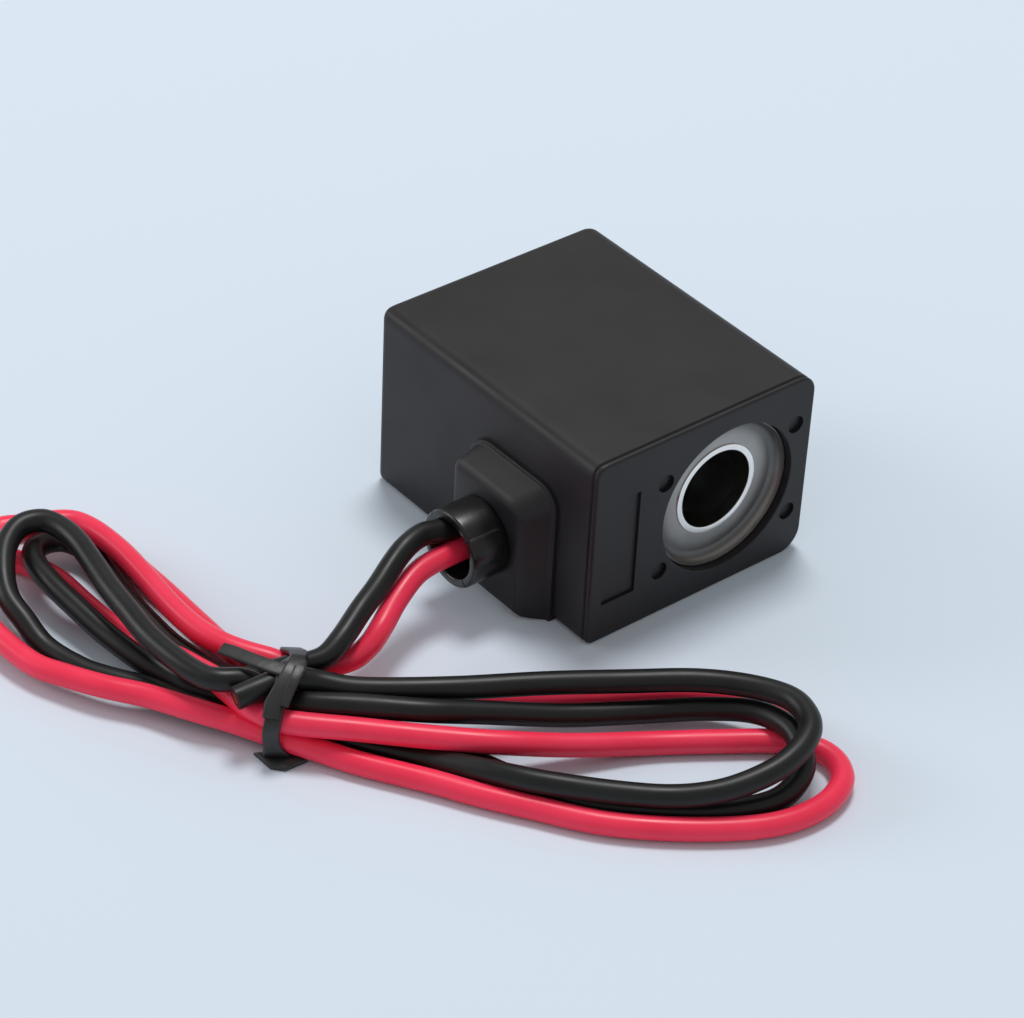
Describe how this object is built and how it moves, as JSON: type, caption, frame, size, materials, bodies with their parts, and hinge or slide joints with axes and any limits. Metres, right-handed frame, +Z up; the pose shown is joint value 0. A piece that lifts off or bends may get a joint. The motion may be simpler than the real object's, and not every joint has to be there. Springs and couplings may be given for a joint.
{
  "type": "solenoid valve coil",
  "caption": "Encapsulated coil block for a small solenoid valve, with a plated armature bore, dished washers, and flying leads folded in a tied hank.",
  "frame": {"origin": "middle of the block's underside, on the surface it rests on", "axes": "+Z up, the armature bore along Y with its panel face to -Y, the leads leave to -X"},
  "size_m": [0.0783, 0.0844, 0.022],
  "materials": {
    "housing_plastic": "fine moulded texture",
    "collar_plastic": "satin moulded",
    "washer_steel": "dull plated",
    "bush_steel": "bright plated",
    "yoke_steel": "zinc plated",
    "bobbin_plastic": "moulded",
    "winding_copper": "enamelled copper",
    "tape_film": "polyester film",
    "tinned_metal": "tinned",
    "core_copper": "bare stranded copper",
    "lead_black": "smooth insulation",
    "lead_red": "smooth insulation",
    "tie_plastic": "ribbon"
  },
  "bodies": {
    "root": {"housing": "housing_plastic", "lead_collar": "collar_plastic", "front_washer": "washer_steel", "rear_washer": "washer_steel", "front_bush": "bush_steel", "rear_bush": "bush_steel", "yoke": "yoke_steel", "bobbin": "bobbin_plastic", "winding": "winding_copper", "winding_tape": "tape_film", "start_pin": "tinned_metal", "finish_pin": "tinned_metal", "start_wire": "winding_copper", "finish_wire": "winding_copper", "start_solder": "tinned_metal", "finish_solder": "tinned_metal", "red_conductor": "core_copper", "black_conductor": "core_copper", "black_lead": "lead_black", "red_lead": "lead_red", "black_lead_core": "core_copper", "red_lead_core": "core_copper", "tie_band": "tie_plastic", "tie_wire": "tinned_metal"}
  },
  "joints": []
}
